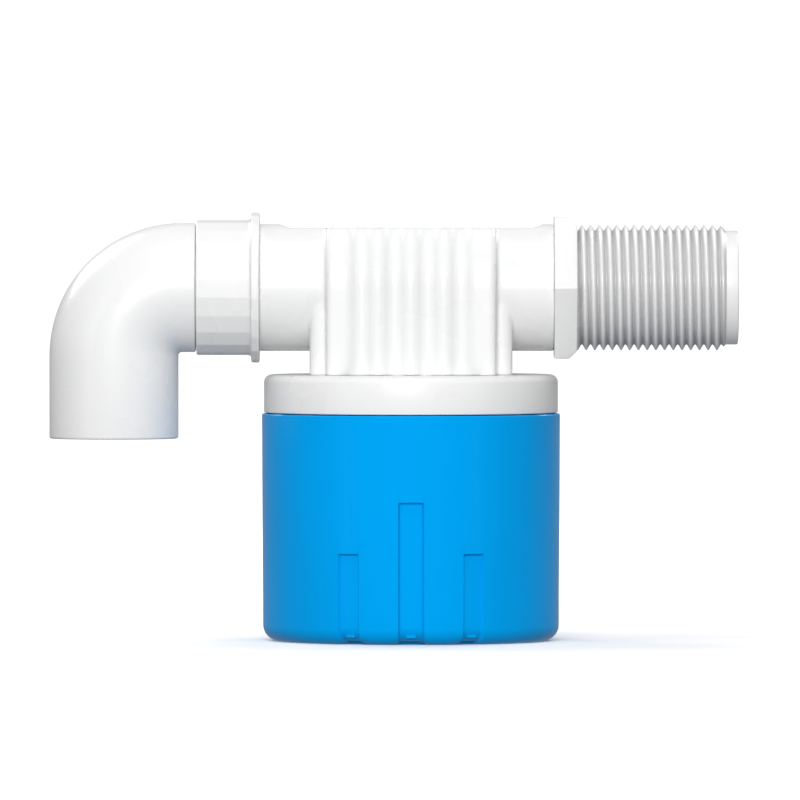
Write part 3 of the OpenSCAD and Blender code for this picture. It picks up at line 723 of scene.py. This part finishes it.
def build_collar():
    flange_x0 = FLANGE_X1 - FLANGE_T
    outline = [(COLLAR_LOW.x, COLLAR_R - 3), (COLLAR_LOW.x, COLLAR_R), (flange_x0, COLLAR_R),
               (flange_x0, FLANGE_R), (FLANGE_X1, FLANGE_R), (FLANGE_X1, FLANGE_R - 3)]
    outline = rounded(outline, 0.45, 4, closed=False, radii={2: 0.9})
    obj = loft("collar", [collar_ring(x, r) for x, r in outline])
    cutters = [
        cylinder("bore", "X", COLLAR_BORE_R, COLLAR_LOW.x - 1, FLANGE_X1 + 1, segments=160),
        cylinder("snap_groove", "X", TUBE_R + 0.8, SNAP_X - 1.2, SNAP_X + 1.2),
        cylinder("screw_room", "X", SCREW_R + 0.1, BODY_LOW.x - 0.1, FLANGE_X1 + 1),
    ]
    combine(obj, cutters, "DIFFERENCE")
    finish_piece(shade(obj, 35), "valve", WHITE, "outlet_collar")


def path_ring(s, r):
    """Ring of radius r about the elbow's centre line, s millimetres on from the start of its bend."""
    bend_length = math.pi / 2 * BEND_R
    turn = min(max(s / BEND_R, 0.0), math.pi / 2)
    ahead = min(s, 0.0)
    down = max(s - bend_length, 0.0)
    out = Vector((-math.sin(turn), 0, math.cos(turn)))
    centre = Vector((BEND_X - ahead, 0, -BEND_R)) + out * BEND_R - Vector((0, 0, down))
    angles = (TAU * i / 128 for i in range(128))
    return [centre + out * (r * math.cos(a)) + Vector((0, r * math.sin(a), 0)) for a in angles]


def path_solid(name, outline):
    """Sweeps an outline of (place along the centre line, radius) points, with rows every 3 degrees."""
    bend = [math.radians(3 * i) * BEND_R for i in range(31)]
    rings = []
    for (s0, r0), (s1, r1) in zip(outline, outline[1:]):
        rings.append(path_ring(s0, r0))
        rings += [path_ring(s, r0 + (r1 - r0) * (s - s0) / (s1 - s0)) for s in bend if s0 < s < s1]
    rings.append(path_ring(*outline[-1]))
    return loft(name, rings)


def build_elbow():
    tube_s0 = BEND_X - ELBOW_HIGH.x
    shoulder_s = BEND_X - (COLLAR_LOW.x - 0.2)
    snap_s = BEND_X - SNAP_X
    ring_s = BEND_X - ELBOW_RING_X
    end_s = math.pi / 2 * BEND_R - ELBOW_LOW.z - BEND_R
    ring_floor_r = TUBE_R - 1.2
    outline = [(tube_s0, TUBE_R - 2), (tube_s0, TUBE_R), (ring_s - 0.75, TUBE_R),
               (ring_s - 0.75, ring_floor_r), (ring_s + 0.75, ring_floor_r), (ring_s + 0.75, TUBE_R),
               (snap_s - 0.8, TUBE_R),
               (snap_s - 0.3, TUBE_R + 0.55), (snap_s + 0.3, TUBE_R + 0.55), (snap_s + 0.8, TUBE_R),
               (shoulder_s, TUBE_R), (shoulder_s, ELBOW_R), (end_s, ELBOW_R), (end_s, ELBOW_R - 3)]
    easy = {1: 0.4, 11: 0.5, 12: 0.6}
    obj = path_solid("elbow", rounded(outline, 0.1, 4, closed=False, radii=easy))
    bore = [(tube_s0 - 1, ELBOW_TUBE_BORE_R), (shoulder_s + 1.5, ELBOW_TUBE_BORE_R),
            (shoulder_s + 1.6, ELBOW_BORE_R), (end_s - 0.5, ELBOW_BORE_R), (end_s, ELBOW_BORE_R + 0.35),
            (end_s + 1, ELBOW_BORE_R + 1.2)]
    combine(obj, [path_solid("elbow_bore", bore)], "DIFFERENCE")
    finish_piece(shade(obj, 35), "elbow", WHITE, "outlet_elbow")


# ---- Lid and cup ----

def arc_bar(name, r0, r1, z0, z1, middle, angle):
    """Part of a ring about Z, angle degrees long around middle."""
    steps = max(4, int(angle / 3))
    corners = ((r0, z0), (r1, z0), (r1, z1), (r0, z1))
    rings = []
    for i in range(steps + 1):
        a = math.radians(middle - angle / 2 + angle * i / steps)
        rings.append([(r * math.cos(a), r * math.sin(a), z) for r, z in corners])
    return loft(name, rings)


def build_lid():
    plate_z = LID_HIGH.z - LID_PLATE_T
    outline = [(LID_HOLE_R, plate_z), (LID_HOLE_R, LID_HIGH.z), (LID_R, LID_HIGH.z), (LID_R, LID_LOW.z),
               (LEDGE_R, LID_LOW.z), (LEDGE_R, LEDGE_Z), (SKIRT_R, LEDGE_Z), (SKIRT_R, plate_z)]
    outline = rounded(outline, 0.25, 4, radii={2: 2.0, 3: 0.35})
    obj = turned("lid", outline, segments=200)
    cutters = at_posts("screw_hole", 1.7, plate_z - 1, LID_HIGH.z + 1)
    for turn in (0, 120, 240):
        middle = turn + 60
        cutters.append(arc_bar("gap", LEDGE_R - 1, SKIRT_R + 0.25, LID_LOW.z - 1, LEDGE_Z + 0.25, middle, 65))
    for side in (90, 270):
        for step in (-VENT_STEP, 0, VENT_STEP):
            cutters.append(arc_bar("vent", VENT_R0, VENT_R1, plate_z - 1, LID_HIGH.z + 1,
                                   side + step, VENT_ANGLE))
    combine(obj, cutters, "DIFFERENCE")
    stops = []
    for turn in (0, 120, 240):
        for middle in (-LUG_ANGLE / 2 - 2.5, CUP_TURN + LUG_ANGLE / 2 + 2.5):
            stops.append(arc_bar("stop", LEDGE_R + 0.25, SKIRT_R + 0.75, LEDGE_Z - 0.5, plate_z + 0.5,
                                 turn + middle, 4))
    combine(obj, stops, "UNION")
    finish_piece(shade(obj, 35), "valve", WHITE, "lid")


def cup_wall_rows(shrink):
    """Outside of the cup, shrunk by shrink, as rows of (radius, height) from the base's centre up."""
    base_z, corner = CUP_LOW.z + shrink, CUP_CORNER_R - shrink / 2
    base_r = CUP_R - CUP_TAPER - shrink - corner
    reach = CUP_R - FLUTE_REACH
    rows = [(r, base_z) for r in (0.0, 16.0, reach - 1, reach - 0.2, reach, reach + 0.2, reach + 0.4)]
    rows += arc_points((base_r, base_z + corner), corner, -90, 0, 14)
    foot_z = base_z + corner
    levels = {foot_z + (CUP_Z1 - foot_z) * i / 12 for i in range(1, 12)}
    for top in (FLUTE_TOP_Z, SIDE_FLUTE_TOP_Z):
        levels = {z for z in levels if abs(z - top) > 1} | {top + d for d in FLUTE_EDGE}
    for z in sorted(levels) + [CUP_Z1 - 0.3]:
        share = (z - foot_z) / (CUP_Z1 - foot_z)
        rows.append((CUP_R - CUP_TAPER * (1 - share) - shrink, z))
    return rows


def smooth_step(value, low, high):
    t = min(1.0, max(0.0, (value - low) / (high - low)))
    return t * t * (3 - 2 * t)


def flute_share(x, y, z):
    """How far a point of the cup's wall lies in a groove: 0 outside it, 1 on its floor."""
    share = 0.0
    half_edge = (FLUTE_EDGE[-1] - FLUTE_EDGE[0]) / 2
    for facing, half_w, top in FLUTES:
        a = math.radians(facing)
        out = x * math.cos(a) + y * math.sin(a)
        across = abs(-x * math.sin(a) + y * math.cos(a))
        inside = smooth_step(half_w - across, -half_edge, half_edge)
        inside *= smooth_step(top - z, -half_edge, half_edge)
        inside *= smooth_step(out - (CUP_R - FLUTE_REACH), -half_edge, half_edge)
        share = max(share, inside)
    return share


def cup_angles():
    """Angles of the cup's columns: evenly spread, with close rows along each groove's edges."""
    edges = []
    for facing, half_w, _ in FLUTES:
        for side in (-1, 1):
            for d in FLUTE_EDGE:
                edges.append(math.radians(facing) + side * math.asin((half_w + d) / CUP_R))
    even = [TAU * i / 200 for i in range(200)]
    near = 0.6 * TAU / 200
    even = [a for a in even if all(abs((a - e + math.pi) % TAU - math.pi) > near for e in edges)]
    return sorted(a % TAU for a in even + edges)


def build_cup():
    floor_z = CUP_LOW.z + CUP_WALL
    inner_r = CUP_R - CUP_WALL
    angles = cup_angles()
    rings = []
    for (r0, z0), (r1, z1) in zip(cup_wall_rows(0), cup_wall_rows(FLUTE_DEPTH)):
        ring = []
        for a in angles:
            share = flute_share(r0 * math.cos(a), r0 * math.sin(a), z0)
            r, z = r0 + (r1 - r0) * share, z0 + (z1 - z0) * share
            ring.append((r * math.cos(a), r * math.sin(a), z))
        rings.append(ring)
    inside = [(CUP_R - 0.3, CUP_Z1), (CUP_NECK_R, CUP_Z1), (CUP_NECK_R, CUP_HIGH.z - 0.3),
              (CUP_NECK_R - 0.3, CUP_HIGH.z), (CUP_NECK_R - 1.3, CUP_HIGH.z),
              (CUP_NECK_R - 1.6, CUP_HIGH.z - 0.3), (CUP_NECK_R - 1.6, CUP_Z1 - 1.6), (inner_r, CUP_Z1 - 4.2)]
    inside += arc_points((inner_r - 2.5, floor_z + 2.2), 2.2, 0, -90, 6) + [(0, floor_z)]
    for r, z in inside:
        rings.append([(r * math.cos(a), r * math.sin(a), z) for a in angles])
    obj = loft("cup", rings)
    lug_z = LEDGE_Z + GAP
    extras = [arc_bar("lug", CUP_NECK_R - 1, SKIRT_R - GAP, lug_z, lug_z + 1.8, turn, LUG_ANGLE)
              for turn in (0, 120, 240)]
    for facing, _, _ in FLUTES:
        rib = block("rib", (RIB_R, -1.2, floor_z - 0.5), (inner_r + 0.5, 1.2, -50))
        rib.data.transform(about_cup_axis(facing))
        extras.append(rib)
    combine(obj, extras, "UNION")
    drain = cylinder("drain", "Z", 2, CUP_LOW.z - 1, floor_z + 1, (20, 0, 0), 48)
    combine(obj, [drain], "DIFFERENCE")
    finish_piece(shade(obj, 35), "cup", BLUE, "cup")


def about_cup_axis(degrees):
    """Turn about the cup's axis, for a mesh already in the row frame."""
    to_axis = Matrix.Translation(ORIGIN * MM)
    return to_axis @ Matrix.Rotation(math.radians(degrees), 4, "Z") @ to_axis.inverted()


# ---- Spring under the piston ----

def build_spring():
    """Coil of round wire whose ends lie flat."""
    low, high = box_mm("piston_spring")
    wire_r, coil_r = 0.42, 8.0
    turns, per_turn, sides = 4, 36, 12
    steps = turns * per_turn
    first, last = smooth_step(0, -0.1, 1.1), smooth_step(1, -0.1, 1.1)
    rings = []
    for i in range(steps + 1):
        a = TAU * i / per_turn
        share = (smooth_step(i / steps, -0.1, 1.1) - first) / (last - first)
        z = low.z + wire_r + (high.z - low.z - 2 * wire_r) * share
        ring = []
        for b in (TAU * j / sides for j in range(sides)):
            r = coil_r + wire_r * math.cos(b)
            ring.append((r * math.cos(a), r * math.sin(a), z + wire_r * math.sin(b)))
        rings.append(ring)
    obj = shade(loft("spring", rings), 60)
    finish_piece(obj, "valve", STEEL, "piston_spring")
    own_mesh(obj)


# ---- Camera, light and floor ----

def aim(obj, place, target):
    obj.location = place
    obj.rotation_euler = (target - place).to_track_quat("-Z", "Y").to_euler()


def softbox(name, azimuth, elevation, distance, size, power, target):
    """Area light that faces the target; azimuth 0 is the front, and it grows towards the inlet."""
    light = bpy.data.lights.new(name, "AREA")
    light.shape = "RECTANGLE"
    light.size, light.size_y = size
    light.energy = power
    obj = bpy.data.objects.new(name, light)
    bpy.context.scene.collection.objects.link(obj)
    a, e = math.radians(azimuth), math.radians(elevation)
    away = Vector((math.sin(a) * math.cos(e), -math.cos(a) * math.cos(e), math.sin(e)))
    aim(obj, target + away * distance, target)
    obj.visible_camera = False


def build_floor():
    """Pale round floor, level with the cup's base, that curves up into a white wall far out.
    Its glow and bounce stay off the object, so only the lamps and the world light its underside."""
    wall_r, curve_r, height = 6.0, 0.3, 0.5
    profile = [(0.0, 0.0), (0.5, 0.0), (1.5, 0.0), (3.0, 0.0)]
    profile += [(r, z) for r, z in arc_points((wall_r - curve_r, curve_r), curve_r, -90, 0, 10)]
    profile.append((wall_r, height))
    count = 96
    points = [(r * math.cos(TAU * i / count), r * math.sin(TAU * i / count), z)
              for r, z in profile for i in range(count)]
    faces = [(k * count + i, k * count + (i + 1) % count, (k + 1) * count + (i + 1) % count,
              (k + 1) * count + i) for k in range(len(profile) - 1) for i in range(count)]
    mesh = bpy.data.meshes.new("floor")
    mesh.from_pydata(points, [], faces)
    floor = bpy.data.objects.new("floor", mesh)
    bpy.context.scene.collection.objects.link(floor)
    floor.location.z = CUP_LOW.z * MM
    floor.visible_diffuse = False
    floor.visible_glossy = False
    floor.data.materials.append(studio_paper())
    shade(floor)


def studio_paper():
    """Pale matt paper, with a glow that grows from faint near the object to white far out."""
    n = Nodes("studio_paper")
    paper = n.tint(n.noise(30, 2), (0.82, 0.82, 0.825), (0.84, 0.84, 0.845))
    n.link(paper, n.shader.inputs["Base Color"])
    n.shader.inputs["Roughness"].default_value = 0.85
    n.shader.inputs["Emission Color"].default_value = (1, 1, 1, 1)
    length = n.add("ShaderNodeVectorMath")
    length.operation = "LENGTH"
    n.link(n.place, length.inputs[0])
    n.link(n.ramp(length.outputs["Value"], 0.05, 0.35, 0.1, 0.85), n.shader.inputs["Emission Strength"])
    return n.material


def build_world():
    world = bpy.data.worlds.new("studio")
    world.use_nodes = True
    background = world.node_tree.nodes["Background"]
    background.inputs["Color"].default_value = (1, 1, 1, 1)
    background.inputs["Strength"].default_value = 0.31
    bpy.context.scene.world = world


def build_camera(target):
    """Long lens from the front, one degree up."""
    data = bpy.data.cameras.new("camera")
    data.lens = 600
    view_width = 212 * MM
    distance = view_width * data.lens / data.sensor_width
    camera = bpy.data.objects.new("camera", data)
    bpy.context.scene.collection.objects.link(camera)
    rise = math.radians(1)
    aim(camera, target + Vector((0, -math.cos(rise), math.sin(rise))) * distance, target)
    bpy.context.scene.camera = camera
    bpy.context.scene.view_settings.view_transform = "Standard"


def build_studio():
    low, high = (Vector(v) for v in CAD_BOX)
    target = (low + high) / 2 + Vector((1.7, 0, 7)) * MM
    build_camera(target)
    softbox("key", -4, 17, 1.0, (0.4, 0.3), 7.2, target)
    softbox("top", 0, 75, 1.0, (0.6, 0.4), 2.2, target)
    for side in (-1, 1):
        softbox("strip", side * 50, 5, 0.8, (0.05, 0.8), 0.5, target)
        softbox("back", side * 135, 35, 1.0, (0.5, 0.5), 4.0, target)
    build_floor()
    build_world()


dress_frame()
build_nipple()
build_strainer()
build_body()
build_collar()
build_elbow()
build_lid()
build_cup()
build_spring()
build_studio()
